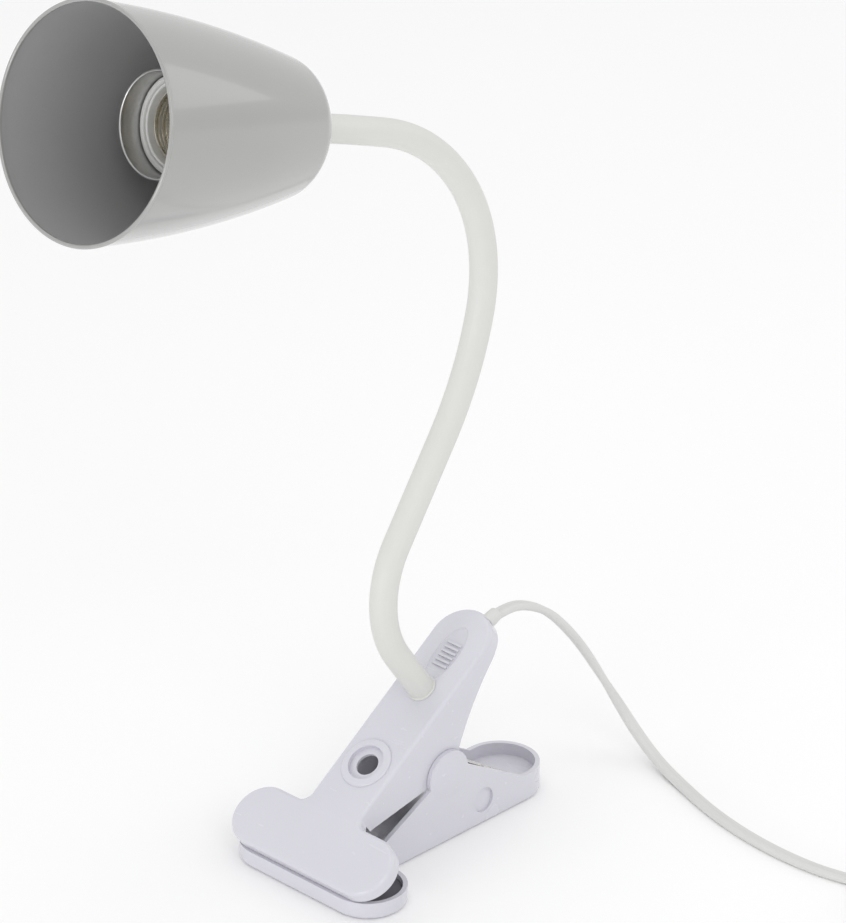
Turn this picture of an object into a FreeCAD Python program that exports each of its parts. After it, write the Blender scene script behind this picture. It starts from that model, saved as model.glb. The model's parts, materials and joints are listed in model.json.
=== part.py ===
import FreeCAD, Part
import math
import os
import re

import Sketcher
from FreeCAD import Placement, Rotation, Vector

# Clip-on reading lamp: a spring clip, a bendable neck, a bell shade with a screw lamp-holder, a flat cord.
#
# Frame: +X runs from the clip's nose to its handles, +Z is up, and +Y is across the jaws. The origin is on
# the lower jaw's flat underside, straight below the clip's pivot. The lamp stands as it does on a table,
# with its jaws closed.

doc = FreeCAD.newDocument("ReadingLamp")
sheet = doc.addObject("Spreadsheet::Sheet", "Sizes")

# Driving dimensions, in millimetres and degrees
sizes = {
    # clip: pivot and lower jaw
    "pivotHeight": 29.8, "pinRadius": 2.4, "pinGap": 0.15, "earRadius": 10.6, "capThick": 0.9,
    "lowerHalfWidth": 16.0, "lowerWall": 1.9, "lowerFloor": 2.2, "lowerFront": 69.5,
    "lowerLobeRadius": 15.4, "lowerLobeOffset": 24.9, "lowerRimHeight": 7.4, "lowerArmFrontHeight": 12.5,
    "earFrontDrop": 2.9, "earRearRise": 0.9, "tailRimHeight": 12.4, "tailRimStart": 42.7, "tailCentre": 45.7,
    "tailFloor": 7.2, "tailFloorStart": 31.0, "tailFloorFoot": 1.0,
    "lowerEdgeRound": 2.0, "dimpleAlong": 19.6, "dimpleHeight": 11.0, "dimpleRadius": 5.3, "dimpleDepth": 1.0,
    # clip: upper jaw, in its own frame along the sloping top face
    "jawAngle": 35.05, "pivotAlong": 68.4, "pivotBelow": 26.5, "jawSideGap": 0.2, "upperWall": 2.0,
    "upperPlate": 2.2, "upperLobeRadius": 13.0, "upperLobeOffset": 28.2, "noseDepth": 5.65,
    "notchRadius": 4.5,
    "upperLength": 127.0, "handleDepth": 7.2, "webRadius": 9.2, "webFrontDepth": 9.4,
    "webFrontAlong": 31.0, "webLeadAngle": 20.0,
    "webRearAlong": 80.0, "webRearDepth": 23.5, "webHandleAlong": 117.0, "webCurve": 120.0,
    "topEdgeRound": 1.8,
    "bossAlong": 50.4, "bossRadius": 10.8, "bossRecessRadius": 7.6, "bossHeight": 0.9, "bossHole": 4.7,
    "gripAlong": 105.0, "gripHalfLength": 13.0, "gripHalfWidth": 5.6, "gripDepth": 1.2,
    "ribLength": 7.4, "ribWidth": 0.9, "ribPitch": 2.1, "ribCount": 6.0,
    # pads and spring
    "padThick": 3.0, "padGap": 0.4, "wireRadius": 0.9, "coilRadius": 6.6, "coilLength": 20.6,
    "springLegOffset": 9.15, "plateHalfWidth": 9.0, "plateThick": 1.2,
    # neck: a tube of ball-ended links in a rubber sleeve
    "neckAlong": 87.9, "coreRadius": 4.3, "coreBore": 2.6, "ballGap": 0.15, "sleeveRadius": 5.5,
    "sleeveBore": 4.7, "wirePairRadius": 1.8, "wireSetback": 4.8,
    "nippleRadius": 5.0, "nippleGap": 0.1, "nutFlats": 14.0, "nutThick": 3.0, "washerRadius": 8.0,
    "washerThick": 1.0, "baseNippleDepth": 9.0,
    # shade and lamp-holder, measured back from the mouth
    "shadeRadius": 43.2, "shadeWall": 0.9, "shadeFlankEnd": 95.0, "shadeFlankRadius": 26.8,
    "shadeFlankCurve": 470.0, "shadeShoulder": 12.0, "shadeShoulderEnd": 103.6,
    "shadeShoulderEndRadius": 19.3,
    "shadeLength": 109.1, "cupFront": 36.4, "cupRadius": 19.8, "cupWall": 1.0, "cupRear": 95.0,
    "holderFront": 46.4, "holderRadius": 16.4, "holderMouth": 15.2, "holderWall": 1.2, "holderRear": 86.0,
    "collarFront": 45.8, "collarRadius": 18.6, "collarLength": 9.0, "shellFront": 48.0, "shellRadius": 13.6,
    "shellWall": 0.45, "shellRear": 71.0, "insulatorThick": 5.0, "contactRadius": 3.2,
    # handle fittings
    "cordAcross": 4.5, "cordBelow": 4.0, "cordWidth": 5.2, "coverThick": 1.4, "coverStart": 98.0,
    "screwRadius": 1.3, "screwHeadRadius": 2.4, "screwHeadThick": 1.1, "grommetNeck": 2.5,
    "grommetTail": 1.7, "cordStart": 1.1,
    # cord fittings
    "switchLength": 58.0, "switchWidth": 20.0, "switchHeight": 14.0, "rockerLength": 18.0, "rockerWidth": 8.0,
    "coilMeanRadius": 28.0, "coilBuild": 20.8, "coilHeight": 8.0, "coilAhead": 30.0, "plugLength": 36.0,
    "plugWidth": 26.0,
    "plugHeight": 13.6, "plugPinRadius": 2.0, "plugPinLength": 19.0, "plugPinSpacing": 18.6,
}
for row, (alias, number) in enumerate(sizes.items(), start=1):
    sheet.set(f"A{row}", alias)
    sheet.set(f"B{row}", str(number))
    sheet.setAlias(f"B{row}", alias)
doc.recompute()


def size(alias):
    return float(sheet.get(alias))


def bind(text):
    """Turn a formula on size names into one on the sheet's cells."""
    return re.sub(r"[A-Za-z]\w*", lambda m: "Sizes." + m.group() if m.group() in sizes else m.group(),
                  str(text))


def value(text):
    return float(sheet.evalExpression(bind(text)))


# ---------------------------------------------------------------- sketches and features
def arcBetween(p, q, radius, turn):
    """Minor arc from p to q, turn +1 to the left and -1 to the right; sketches store it anticlockwise."""
    middle, half = (p + q) * 0.5, (q - p) * 0.5
    side = Vector(-half.y, half.x, 0).normalize() * turn
    centre = middle + side * math.sqrt(max(radius ** 2 - half.Length ** 2, 0))
    first, last = (p, q) if turn > 0 else (q, p)
    start = math.atan2(first.y - centre.y, first.x - centre.x)
    end = math.atan2(last.y - centre.y, last.x - centre.x)
    return Part.ArcOfCircle(Part.Circle(centre, Vector(0, 0, 1), radius), start, end)


def placeSketch(body, plane, offset):
    sketch = body.newObject("Sketcher::SketchObject", body.Name + "_sketch")
    origin = next(item for item in body.Origin.OriginFeatures if item.Role == plane)
    sketch.AttachmentSupport = [(origin, "")]
    sketch.MapMode = "FlatFace"
    sketch.setExpression("AttachmentOffset.Base.z", bind(offset))
    return sketch


def outline(body, plane, corners, offset="0"):
    """Closed sketch. A corner is (x, y), or (x, y, radius, turn) when an arc leads to the next corner."""
    sketch = placeSketch(body, plane, offset)
    points = [Vector(value(c[0]), value(c[1]), 0) for c in corners]
    links, starts = [], []
    for index, corner in enumerate(corners):
        p, q = points[index], points[(index + 1) % len(points)]
        if len(corner) == 2:
            sketch.addGeometry(Part.LineSegment(p, q), False)
            starts.append((index, 1, 2))
        else:
            sketch.addGeometry(arcBetween(p, q, value(corner[2]), corner[3]), False)
            starts.append((index, 1, 2) if corner[3] > 0 else (index, 2, 1))
    for index, (edge, first, last) in enumerate(starts):
        following, begin, _ = starts[(index + 1) % len(starts)]
        links.append(Sketcher.Constraint("Coincident", edge, last, following, begin))
    sketch.addConstraint(links)
    for index, corner in enumerate(corners):
        edge, first, _ = starts[index]
        for kind, text, axis in (("DistanceX", corner[0], -2), ("DistanceY", corner[1], -1)):
            if str(text) == "0":
                sketch.addConstraint(Sketcher.Constraint("PointOnObject", edge, first, axis))
            else:
                number = sketch.addConstraint(Sketcher.Constraint(kind, -1, 1, edge, first, value(text)))
                sketch.setExpression(f"Constraints[{number}]", bind(text))
        if len(corner) == 4:
            number = sketch.addConstraint(Sketcher.Constraint("Radius", edge, value(corner[2])))
            sketch.setExpression(f"Constraints[{number}]", bind(corner[2]))
    return sketch


def circles(body, plane, rounds, offset="0"):
    """Sketch of circles, each (x, y, radius)."""
    sketch = placeSketch(body, plane, offset)
    for x, y, radius in rounds:
        circle = Part.Circle(Vector(value(x), value(y), 0), Vector(0, 0, 1), value(radius))
        edge = sketch.addGeometry(circle, False)
        for kind, text, axis in (("DistanceX", x, -2), ("DistanceY", y, -1)):
            if str(text) == "0":
                sketch.addConstraint(Sketcher.Constraint("PointOnObject", edge, 3, axis))
            else:
                number = sketch.addConstraint(Sketcher.Constraint(kind, -1, 1, edge, 3, value(text)))
                sketch.setExpression(f"Constraints[{number}]", bind(text))
        number = sketch.addConstraint(Sketcher.Constraint("Radius", edge, value(radius)))
        sketch.setExpression(f"Constraints[{number}]", bind(radius))
    return sketch


def newBody(label, place=None):
    body = doc.addObject("PartDesign::Body", label)
    body.Label = label
    if place:
        body.Placement = place
    return body


def prism(kind, body, sketch, length, reverse=False, symmetric=False):
    feature = body.newObject("PartDesign::" + kind, body.Name + "_" + kind)
    feature.Profile = sketch
    feature.setExpression("Length", bind(length))
    feature.Reversed = reverse
    if symmetric:
        feature.SideType = "Symmetric"
    doc.recompute()
    return feature


def turned(label, corners, place=None):
    """Body of revolution about its own Z axis; corners are (radius, height)."""
    body = newBody(label, place)
    sketch = outline(body, "XZ_Plane", corners)
    feature = body.newObject("PartDesign::Revolution", label + "_turn")
    feature.Profile = sketch
    feature.ReferenceAxis = (sketch, ["V_Axis"])
    feature.Angle = 360
    return body


def tubeCorners(inner, outer, start, end):
    return [(inner, start), (outer, start), (outer, end), (inner, end)]


def solidPiece(label, shape, place=None):
    piece = doc.addObject("Part::Feature", label)
    piece.Label = label
    piece.Shape = shape
    if place:
        piece.Placement = place
    return piece


def cylinderAlong(start, direction, radius, length):
    return Part.makeCylinder(radius, length, start, direction)


# ---------------------------------------------------------------- clip: lower jaw
def noseAndArm(front, lobe, offset, half, fillet, end, inset="0"):
    """Plan outline of a jaw: a T-shaped nose with round lobes, and an arm with a round end.

    front is the nose's front edge, end the centre of the arm's round end; inset moves every edge inwards.
    """
    r, w, f = f"({lobe}-{inset})", f"({half}-{inset})", f"({fillet}+{inset})"
    a, b, c = f"({front}+{inset})", f"({front}+{lobe})", f"({front}+2*{lobe}-{inset})"
    right = [(a, offset, r, -1), (b, f"{offset}+{r}", r, -1), (c, offset), (c, f"{w}+{f}", f, 1),
             (f"{c}+{f}", w), (end, w, w, -1)]
    left = [(f"{end}+{w}", "0", w, -1), (end, f"-{w}"), (f"{c}+{f}", f"-{w}", f, 1), (c, f"-{w}-{f}"),
            (c, f"-{offset}", r, -1), (b, f"-{offset}-{r}", r, -1), (a, f"-{offset}")]
    return right + left


def makeLowerJaw():
    body = newBody("lower_jaw")
    plan = ("-lowerFront", "lowerLobeRadius", "lowerLobeOffset", "lowerHalfWidth", "notchRadius",
            "tailCentre")
    prism("Pad", body, outline(body, "XY_Plane", noseAndArm(*plan)), "pivotHeight+earRadius+1")
    over, high = "lowerFront+10", "pivotHeight+earRadius+10"
    armFront = "-lowerFront+2*lowerLobeRadius"
    earFront = ("-sqrt(earRadius*earRadius-earFrontDrop*earFrontDrop)", "pivotHeight-earFrontDrop")
    earRear = ("sqrt(earRadius*earRadius-earRearRise*earRearRise)", "pivotHeight+earRearRise")
    above = [(f"-({over})", "lowerRimHeight"), (armFront, "lowerRimHeight"), (armFront,
                                                                              "lowerArmFrontHeight"),
             earFront + ("earRadius", -1), ("0", "pivotHeight+earRadius", "earRadius", -1), earRear,
             ("tailRimStart", "tailRimHeight"), (over, "tailRimHeight"), (over, high), (f"-({over})", high)]
    prism("Pocket", body, outline(body, "XZ_Plane", above), "4*lowerFront", symmetric=True)
    inside = outline(body, "XY_Plane", noseAndArm(*plan, inset="lowerWall"), "lowerFloor")
    prism("Pocket", body, inside, "pivotHeight+2*earRadius", reverse=True)
    half = "(lowerHalfWidth-lowerWall/2)"
    shelf = [("tailFloorStart", half), ("tailCentre", half, half, -1), (f"tailCentre+{half}", "0", half, -1),
             ("tailCentre", f"-{half}"), ("tailFloorStart", f"-{half}")]
    prism("Pad", body, outline(body, "XY_Plane", shelf, "tailFloorFoot"), "tailFloor-tailFloorFoot")
    bore = circles(body, "XZ_Plane", [("0", "pivotHeight", "pinRadius")])
    prism("Pocket", body, bore, "4*lowerHalfWidth", symmetric=True)
    for side, flip in (("lowerHalfWidth", False), ("-lowerHalfWidth", True)):
        dimple = circles(body, "XZ_Plane", [("dimpleAlong", "dimpleHeight", "dimpleRadius")], side)
        prism("Pocket", body, dimple, "dimpleDepth", reverse=flip)
    roundEdges(body, lambda edge: edge.BoundBox.ZMax < 1e-4, "lowerEdgeRound")
    return body


def roundEdges(body, wanted, radius):
    """Fillet every edge of the body's tip that passes the test."""
    tip = body.Tip
    names = [f"Edge{i}" for i, edge in enumerate(tip.Shape.Edges, start=1) if wanted(edge)]
    fillet = body.newObject("PartDesign::Fillet", body.Name + "_fillet")
    fillet.Base = (tip, names)
    fillet.setExpression("Radius", bind(radius))
    doc.recompute()


# ---------------------------------------------------------------- clip: upper jaw
slope = math.radians(size("jawAngle"))
alongJaw = Vector(math.cos(slope), 0, math.sin(slope))
outOfJaw = Vector(-math.sin(slope), 0, math.cos(slope))
pivot = Vector(0, 0, size("pivotHeight"))
jawOrigin = pivot - alongJaw * size("pivotAlong") + outOfJaw * size("pivotBelow")
jawPlace = Placement(jawOrigin, Rotation(Vector(0, 1, 0), -size("jawAngle")))
upperHalf = "(lowerHalfWidth-lowerWall-jawSideGap)"


def onJaw(along, across, out):
    """Point given along, across and out from the upper jaw's top face."""
    return jawOrigin + alongJaw * along + Vector(0, across, 0) + outOfJaw * out


def upperPlan(inset="0"):
    return noseAndArm("0", "upperLobeRadius", "upperLobeOffset", upperHalf, "notchRadius",
                      f"(upperLength-{upperHalf})", inset)


def makeUpperJaw():
    body = newBody("upper_jaw", jawPlace)
    deepest = "(pivotBelow+webRadius)"
    prism("Pad", body, outline(body, "XY_Plane", upperPlan()), deepest, reverse=True)
    roundEdges(body, lambda edge: edge.BoundBox.ZMin > -1e-4, "topEdgeRound")
    under = [("-20", "-noseDepth"), ("webFrontAlong-2", "-noseDepth"), ("webFrontAlong-2", "-webFrontDepth"),
             ("pivotAlong-webRadius*cos(webLeadAngle)", "-pivotBelow+webRadius*sin(webLeadAngle)",
              "webRadius", 1),
             ("pivotAlong", f"-{deepest}"), ("pivotAlong+webRadius*0.6", "-pivotBelow-0.8*webRadius"),
             ("pivotAlong+webRadius", "-pivotBelow"),
             ("webRearAlong", "-webRearDepth", "webCurve", -1), ("webHandleAlong", "-handleDepth"),
             ("upperLength+20", "-handleDepth"), ("upperLength+20", f"-{deepest}-20"), ("-20",
                                                                                        f"-{deepest}-20")]
    prism("Pocket", body, outline(body, "XZ_Plane", under), "4*upperLength", symmetric=True)
    prism("Pocket", body, outline(body, "XY_Plane", upperPlan("upperWall"), "-upperPlate"), deepest)
    prism("Pocket", body, circles(body, "XZ_Plane", [("pivotAlong", "-pivotBelow", "pinRadius+pinGap")]),
          "4*lowerHalfWidth", symmetric=True)
    # hanging hole with a raised rim
    prism("Pad", body, circles(body, "XY_Plane", [("bossAlong", "0", "bossRadius")]), "bossHeight")
    roundEdges(body, lambda edge: edge.BoundBox.ZMin > size("bossHeight") - 1e-4, "bossHeight*0.8")
    prism("Pocket", body, circles(body, "XY_Plane", [("bossAlong", "0", "bossRecessRadius")], "bossHeight"),
          "bossHeight*2")
    prism("Pocket", body, circles(body, "XY_Plane", [("bossAlong", "0", "bossHole")], "bossHeight"),
          "bossHeight+upperPlate+5")
    # thumb grip: a shallow scoop with ribs across it
    scoop = body.newObject("PartDesign::SubtractiveEllipsoid", "thumb_scoop")
    scoop.setExpression("Radius1", bind("gripDepth"))
    scoop.setExpression("Radius2", bind("gripHalfLength"))
    scoop.setExpression("Radius3", bind("gripHalfWidth"))
    scoop.Angle1, scoop.Angle2 = -90, 90
    scoop.setExpression("Placement.Base.x", bind("gripAlong"))
    doc.recompute()
    first = "(gripAlong-ribPitch*(ribCount-1)/2)"
    rib = [(f"{first}-ribWidth/2", "-ribLength/2"), (f"{first}+ribWidth/2", "-ribLength/2"),
           (f"{first}+ribWidth/2", "ribLength/2"), (f"{first}-ribWidth/2", "ribLength/2")]
    ribSketch = outline(body, "XY_Plane", rib, "-gripDepth-0.1")
    ribPad = prism("Pad", body, ribSketch, "gripDepth-0.1")
    pattern = body.newObject("PartDesign::LinearPattern", "thumb_ribs")
    pattern.Originals = [ribPad]
    pattern.Direction = (ribSketch, ["H_Axis"])
    pattern.setExpression("Length", bind("ribPitch*(ribCount-1)"))
    pattern.setExpression("Occurrences", bind("ribCount"))
    body.Tip = pattern
    doc.recompute()
    # neck hole, cord hole through the end wall, and two screw posts for the handle cover
    prism("Pocket", body, circles(body, "XY_Plane", [("neckAlong", "0", "nippleRadius+nippleGap")]),
          "upperPlate+2")
    cordHole = circles(body, "YZ_Plane", [("-cordAcross", "-cordBelow", "grommetNeck+nippleGap")],
                       "upperLength-10")
    prism("Pocket", body, cordHole, "20", reverse=True)
    posts = [(x, y, "screwHeadRadius+0.4") for x, y in coverScrews]
    prism("Pad", body, circles(body, "XY_Plane", posts, "-upperPlate"), "handleDepth-upperPlate-coverThick",
          reverse=True)
    prism("Pocket", body, circles(body, "XY_Plane", [(x, y, "screwRadius") for x, y in coverScrews],
                                  "-upperPlate"),
          "handleDepth")
    return body


coverScrews = [("coverStart+4", "6.5"), ("upperLength-8", "4.5")]


# ---------------------------------------------------------------- pads, pin, spring
def makePads():
    lower = newBody("lower_pad")
    gap = "(lowerWall+padGap)"
    back = f"(-lowerFront+2*lowerLobeRadius-{gap})"
    front, lobe = f"(-lowerFront+{gap})", f"(lowerLobeRadius-{gap})"
    centre = "(-lowerFront+lowerLobeRadius)"
    shape = [(front, "lowerLobeOffset", lobe, -1), (centre, f"lowerLobeOffset+{lobe}", lobe, -1),
             (back, "lowerLobeOffset"), (back, "-lowerLobeOffset", lobe, -1),
             (centre, f"-lowerLobeOffset-{lobe}", lobe, -1), (front, "-lowerLobeOffset")]
    prism("Pad", lower, outline(lower, "XY_Plane", shape, "lowerFloor"), "padThick")
    upper = newBody("upper_pad", jawPlace)
    gap = "(upperWall+padGap)"
    front, back, lobe = gap, f"(2*upperLobeRadius-{gap})", f"(upperLobeRadius-{gap})"
    shape = [(front, "upperLobeOffset", lobe, -1), ("upperLobeRadius", f"upperLobeOffset+{lobe}", lobe, -1),
             (back, "upperLobeOffset"), (back, "-upperLobeOffset", lobe, -1),
             ("upperLobeRadius", f"-upperLobeOffset-{lobe}", lobe, -1), (front, "-upperLobeOffset")]
    prism("Pad", upper, outline(upper, "XY_Plane", shape, "-upperPlate"), "padThick", reverse=True)


def makePivot():
    toY = Placement(pivot, Rotation(Vector(1, 0, 0), 90))
    turned("pivot_pin", tubeCorners("0", "pinRadius", "-lowerHalfWidth", "lowerHalfWidth"), toY)
    face, radius = size("lowerHalfWidth"), size("earRadius") - size("padGap")
    thick = size("capThick")
    ball = (radius ** 2 + thick ** 2) / (2 * thick)
    caps = []
    for side in (-1, 1):
        sphere = Part.makeSphere(ball, Vector(0, side * (face + thick - ball), size("pivotHeight")))
        disc = cylinderAlong(Vector(0, side * face, size("pivotHeight")), Vector(0, side, 0), radius, thick)
        caps.append(sphere.common(disc))
    solidPiece("pivot_caps", Part.makeCompound(caps))


def makeSpring():
    radius, wire, half = size("coilRadius"), size("wireRadius"), size("coilLength") / 2
    wall = 1.12 * wire
    centre = Vector(0, -half, size("pivotHeight"))
    coil = cylinderAlong(centre, Vector(0, 1, 0), radius + wall, 2 * half)
    coil = coil.cut(cylinderAlong(centre, Vector(0, 1, 0), radius - wall, 2 * half))
    legs = size("springLegOffset")
    upperFoot = onJaw(size("coverStart") - 5, legs, -size("upperPlate") - wire - 0.1)
    lowerFoot = Vector(size("tailCentre"), -legs, size("tailFloor") + wire + 0.1)
    for foot, turn in ((upperFoot, 1), (lowerFoot, -1)):
        away = Vector(foot.x, 0, foot.z - size("pivotHeight"))
        lean = turn * math.acos(radius / away.Length)
        edge = Rotation(Vector(0, 1, 0), math.degrees(lean)).multVec(away.normalize() * radius)
        start = Vector(edge.x, foot.y, size("pivotHeight") + edge.z)
        coil = coil.fuse(cylinderAlong(start, foot - start, wire, (foot - start).Length))
    solidPiece("torsion_spring", coil)
    # steel bearing strip that spans the lower jaw under the coil
    body = newBody("spring_plate")
    low, top = "lowerFloor", "lowerFloor+plateThick"
    crest = "0.47*pivotHeight"
    strip = [("-38", low), ("-31", low), ("8", f"{crest}-plateThick"), ("20", low), ("28", low), ("28", top),
             ("21", top), ("9", crest), ("-31", top), ("-38", top)]
    prism("Pad", body, outline(body, "XZ_Plane", strip), "2*plateHalfWidth", symmetric=True)


# ---------------------------------------------------------------- neck
# Each span is (length, turn in degrees); a joint sits between one span and the next.
neckSpans = [(23, 0), (52, -69), (45, 0), (50, 20), (58, 46), (55, 38), (46, 3)]


def neckPath():
    """Start point, heading, length and turn of each span, with headings in radians from +X towards +Z."""
    point, heading = onJaw(size("neckAlong"), 0, 0), slope + math.pi / 2
    spans = []
    for length, turn in neckSpans:
        spans.append((point, heading, length, math.radians(turn)))
        point, heading = advance(point, heading, length, math.radians(turn))
    return spans, point, heading


def unit(heading):
    return Vector(math.cos(heading), 0, math.sin(heading))


def advance(point, heading, length, turn):
    if abs(turn) < 1e-6:
        return point + unit(heading) * length, heading
    radius = length / turn
    centre = point + unit(heading + math.pi / 2) * radius
    return centre - unit(heading + turn + math.pi / 2) * radius, heading + turn


def spanSolid(span, begin, end, radius):
    """Round bar along a span, from one distance along it to another."""
    point, heading, length, turn = span
    start, facing = advance(point, heading, begin, turn * begin / length)
    face = Part.Face(Part.Wire(Part.makeCircle(radius, start, unit(facing))))
    part = turn * (end - begin) / length
    if abs(part) < 1e-6:
        return face.extrude(unit(facing) * (end - begin))
    bend = (end - begin) / part
    centre = start + unit(facing + math.pi / 2) * bend
    return face.revolve(centre, Vector(0, -1, 0), math.degrees(part))


def makeNeck():
    spans, _, _ = neckPath()
    core, bore, wire = size("coreRadius"), size("coreBore"), size("wirePairRadius")
    outer, inner, back = size("sleeveRadius"), size("sleeveBore"), size("wireSetback")
    last = len(spans) - 1
    for index, span in enumerate(spans):
        length = span[2]
        bar = spanSolid(span, 0, length, core)
        if index < last:
            bar = bar.fuse(Part.makeSphere(core, spans[index + 1][0]))
        if index > 0:
            bar = bar.cut(Part.makeSphere(core + size("ballGap"), span[0]))
        bar = bar.cut(spanSolid(span, 0, length, bore))
        if index < last:
            bar = bar.cut(spanSolid((spans[index + 1][0], spans[index + 1][1], 2 * core, 0), 0, 2 * core,
                                    bore))
        solidPiece(f"neck_core_{index}", bar)
        solidPiece(f"neck_wire_{index}", spanSolid(span, back, length - back, wire))
        sleeve = spanSolid(span, 0, length / 2, outer).cut(spanSolid(span, 0, length / 2, inner))
        if index > 0:
            before = spans[index - 1]
            half = before[2] / 2
            sleeve = sleeve.fuse(spanSolid(before, half, 2 * half, outer).cut(
                spanSolid(before, half, 2 * half, inner)))
        solidPiece(f"neck_sleeve_{index}", sleeve)
    half = spans[last][2] / 2
    tail = spanSolid(spans[last], half, 2 * half, outer).cut(spanSolid(spans[last], half, 2 * half, inner))
    solidPiece(f"neck_sleeve_{last + 1}", tail)
    # threaded nipple, washer and nut that hold the neck in the upper jaw
    foot = Placement(onJaw(size("neckAlong"), 0, 0), jawPlace.Rotation)
    depth = "(upperPlate+baseNippleDepth)"
    turned("base_nipple", tubeCorners("coreBore", "nippleRadius", f"-{depth}", "-0.05"), foot)
    turned("base_washer", tubeCorners("nippleRadius+nippleGap", "washerRadius", "-upperPlate-washerThick",
                                      "-upperPlate"), foot)
    hexNut("base_nut", foot, "-upperPlate-washerThick-nutThick")


def hexNut(label, place, start):
    body = newBody(label, place)
    flat, corner = "(nutFlats/2)", "(nutFlats/sqrt(3))"
    points = [(corner, "0"), (f"{corner}/2", flat), (f"-{corner}/2", flat), (f"-{corner}", "0"),
              (f"-{corner}/2", f"-{flat}"), (f"{corner}/2", f"-{flat}")]
    prism("Pad", body, outline(body, "XY_Plane", points, start), "nutThick")
    prism("Pocket", body, circles(body, "XY_Plane", [("0", "0", "nippleRadius+nippleGap")],
                                  f"{start}+nutThick"),
          "2*nutThick")


# ---------------------------------------------------------------- head
def headPlace():
    """Frame at the shade's mouth, with Z running back along the shade's axis."""
    _, end, heading = neckPath()
    mouth = end + unit(heading) * size("shadeLength")
    return Placement(mouth, Rotation(Vector(0, 1, 0), 90 + 180 - math.degrees(heading)))


def makeHead():
    place = headPlace()
    wall = "shadeWall"
    outer = [("shadeRadius", "0", "shadeFlankCurve", 1),
             ("shadeFlankRadius", "shadeFlankEnd", "shadeShoulder", 1),
             ("shadeShoulderEndRadius", "shadeShoulderEnd"), ("nippleRadius+nippleGap", "shadeLength")]
    inner = [("nippleRadius+nippleGap", f"shadeLength-{wall}"),
             (f"shadeShoulderEndRadius-0.34*{wall}", f"shadeShoulderEnd-0.94*{wall}",
              f"shadeShoulder-{wall}", -1),
             (f"shadeFlankRadius-0.97*{wall}", f"shadeFlankEnd-0.26*{wall}", f"shadeFlankCurve-{wall}", -1),
             (f"shadeRadius-{wall}", "0")]
    turned("lamp_shade", outer + inner, place)
    turned("socket_cup", [("cupRadius-cupWall", "cupFront"), ("cupRadius", "cupFront"), ("cupRadius",
                                                                                         "cupRear-1"),
                          ("cupRadius-1", "cupRear"), ("nippleRadius+nippleGap", "cupRear"),
                          ("nippleRadius+nippleGap", "cupRear-cupWall"), ("cupRadius-cupWall",
                                                                          "cupRear-cupWall")],
           place)
    turned("shade_spacer", [("nippleRadius+nippleGap", "cupRear"), ("washerRadius", "cupRear"),
                            ("washerRadius", "shadeLength-shadeWall-2"),
                            ("nippleRadius+nippleGap", "shadeLength-shadeWall-1")], place)
    turned("head_nipple", tubeCorners("coreBore", "nippleRadius", "holderRear", "shadeLength-0.05"), place)
    hexNut("head_nut", place, "cupRear-cupWall-nutThick")
    base = "(holderRear-holderWall)"
    turned("holder_body", [("holderMouth", "holderFront"), ("holderRadius", "holderFront"),
                           ("holderRadius", "holderRear-6"), ("holderRadius-5", "holderRear"),
                           ("nippleRadius+nippleGap", "holderRear"), ("nippleRadius+nippleGap", base),
                           ("holderRadius-5-holderWall", base), ("holderMouth",
                                                                 "holderRear-6-holderWall")], place)
    turned("holder_collar", [("holderRadius+nippleGap", "collarFront+1"), ("holderRadius+nippleGap+0.6",
                                                                           "collarFront"),
                             ("collarRadius-0.6", "collarFront"), ("collarRadius", "collarFront+0.8"),
                             ("collarRadius", "collarFront+collarLength"),
                             ("holderRadius+nippleGap", "collarFront+collarLength")], place)
    turned("screw_shell", tubeCorners("shellRadius-shellWall", "shellRadius", "shellFront", "shellRear"),
           place)
    turned("holder_insulator", [("0", "shellRear+2.5"), ("holderMouth-nippleGap", "shellRear+2.5"),
                                ("holderMouth-nippleGap", "shellRear+2.5+insulatorThick"),
                                ("0", "shellRear+2.5+insulatorThick")], place)
    turned("centre_contact", [("0", "shellRear+0.1"), ("contactRadius-1", "shellRear+0.1"),
                              ("contactRadius", "shellRear+0.9"), ("contactRadius", "shellRear+2.5"),
                              ("0", "shellRear+2.5")],
           place)
    return place


# ---------------------------------------------------------------- handle fittings
def makeHandleFittings():
    cover = newBody("handle_cover", jawPlace)
    gap = "(upperWall+padGap)"
    half, end = f"({upperHalf}-{gap})", f"(upperLength-{upperHalf})"
    plan = [("coverStart", half), (end, half, half, -1), (f"{end}+{half}", "0", half, -1), (end, f"-{half}"),
            ("coverStart", f"-{half}")]
    bottom = "(handleDepth-coverThick)"
    prism("Pad", cover, outline(cover, "XY_Plane", plan, f"-{bottom}"), "coverThick", reverse=True)
    holes = [(x, y, "screwRadius+0.1") for x, y in coverScrews]
    prism("Pocket", cover, circles(cover, "XY_Plane", holes, f"-{bottom}+1"), "4")
    screws = []
    under = -size("handleDepth")
    for x, y in coverScrews:
        head = onJaw(value(x), value(y), under)
        head = cylinderAlong(head, outOfJaw * -1, size("screwHeadRadius"), size("screwHeadThick"))
        shank = cylinderAlong(onJaw(value(x), value(y), under), outOfJaw, size("screwRadius") - 0.05,
                              size("handleDepth") - size("upperPlate") - 0.3)
        screws.append(head.fuse(shank))
    solidPiece("cover_screws", Part.makeCompound(screws))
    exitAxis = Placement(onJaw(size("upperLength"), -size("cordAcross"), -size("cordBelow")),
                         Rotation(Vector(0, 1, 0), 90 - size("jawAngle")))
    turned("cord_grommet", [("0", "-8"), ("grommetTail", "-8"), ("grommetTail", "-2.2"), ("grommetNeck",
                                                                                          "-2.2"),
                            ("grommetNeck", "-0.1"), ("0", "-0.1")], exitAxis)
    block = newBody("wire_connector", jawPlace)
    rear = "(coverStart+12)"
    plan = [(rear, "-6.5"), (f"{rear}+7", "-6.5"), (f"{rear}+7", "1.5"), (rear, "1.5")]
    prism("Pad", block, outline(block, "XY_Plane", plan, "-upperPlate-0.1"), f"{bottom}-upperPlate-0.3",
          reverse=True)


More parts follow.
